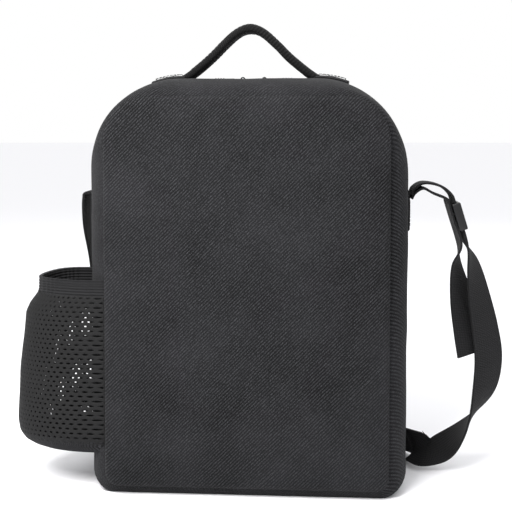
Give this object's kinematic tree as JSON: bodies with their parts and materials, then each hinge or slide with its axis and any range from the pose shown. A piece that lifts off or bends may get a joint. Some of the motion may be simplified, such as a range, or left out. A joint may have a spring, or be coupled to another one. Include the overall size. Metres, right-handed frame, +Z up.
{
  "type": "insulated cooler bag",
  "caption": "Upright padded insulated cooler bag with a zipped fold-down front, top grab handle, mesh side pocket and adjustable shoulder strap.",
  "frame": {"origin": "middle of the base, on the surface that the bag stands on", "axes": "+Z up; +X towards the side with the strap adjuster, the mesh pocket is at -X; -Y towards the plain back panel, the zipped flap is at +Y"},
  "size_m": [0.3508, 0.1227, 0.329],
  "materials": {
    "panel_cloth": "matt woven polyester",
    "foam": "closed-cell foam",
    "board": "plain sheet",
    "foil_lining": "foil-faced sheet",
    "webbing": "ribbed webbing",
    "handle_cloth": "fine twill",
    "zip_tape": "knitted tape",
    "zip_teeth": "moulded coil",
    "zip_metal": "black enamel",
    "buckle_plastic": "polished moulding",
    "mesh": "open knitted mesh",
    "elastic": "ribbed elastic"
  },
  "bodies": {
    "bag": {"back_panel": "panel_cloth", "back_foam": "foam", "side_gusset": "panel_cloth", "base_panel": "panel_cloth", "wall_foam": "foam", "base_foam": "foam", "base_board": "board", "front_lower_panel": "panel_cloth", "front_lower_foam": "foam", "lining": "foil_lining", "inner_binding": "webbing", "body_zip_tape": "zip_tape", "body_zip_chain": "zip_teeth", "zip_end_stops": "zip_metal", "handle_patch_left": "webbing", "handle_patch_right": "webbing", "strap_tab_left": "webbing", "strap_tab_right": "webbing", "pocket_mesh": "mesh", "pocket_rim": "elastic", "pocket_base": "panel_cloth"},
    "flap": {"front_panel": "panel_cloth", "front_foam": "foam", "flap_lining": "foil_lining", "flap_gusset": "panel_cloth", "flap_zip_tape": "zip_tape", "flap_zip_chain": "zip_teeth"},
    "zip_slider_left": {"zip_slider_left": "zip_metal"},
    "zip_slider_right": {"zip_slider_right": "zip_metal"},
    "zip_pull_left": {"zip_pull_left": "zip_metal"},
    "zip_pull_right": {"zip_pull_right": "zip_metal"},
    "handle": {"handle_wrap": "handle_cloth", "handle_core": "foam"},
    "strap": {"anchor_webbing": "webbing", "strap_webbing": "webbing", "strap_tail": "webbing"},
    "adjuster": {"strap_adjuster": "buckle_plastic"}
  },
  "joints": [
    {"name": "flap_fold", "type": "hinge", "parent": "bag", "child": "flap", "pos_m": [0, 0.05, 0.07], "axis": [-1, 0, 0], "range_deg": [0, 90]},
    {"name": "zip_left_run", "type": "slide", "parent": "bag", "child": "zip_slider_left", "axis": [-1, 0, 0], "range_m": [0, 0.04]},
    {"name": "zip_right_run", "type": "slide", "parent": "bag", "child": "zip_slider_right", "axis": [1, 0, 0], "range_m": [0, 0.04]},
    {"name": "pull_left_flip", "type": "hinge", "parent": "zip_slider_left", "child": "zip_pull_left", "pos_m": [-0.00817, 0.0295, 0.2926], "axis": [0, 1, 0], "range_deg": [0, 150]},
    {"name": "pull_right_flip", "type": "hinge", "parent": "zip_slider_right", "child": "zip_pull_right", "pos_m": [0.00817, 0.0295, 0.2926], "axis": [0, -1, 0], "range_deg": [0, 150]},
    {"name": "handle_swing", "type": "hinge", "parent": "bag", "child": "handle", "pos_m": [0, 0, 0.3], "axis": [1, 0, 0], "range_deg": [-60, 60]},
    {"name": "strap_swing", "type": "hinge", "parent": "bag", "child": "strap", "pos_m": [0, 0.005, 0.208], "axis": [1, 0, 0], "range_deg": [0, 250]},
    {"name": "adjuster_slide", "type": "slide", "parent": "strap", "child": "adjuster", "axis": [0.2924, 0, -0.9563], "range_m": [0, 0.008]}
  ]
}
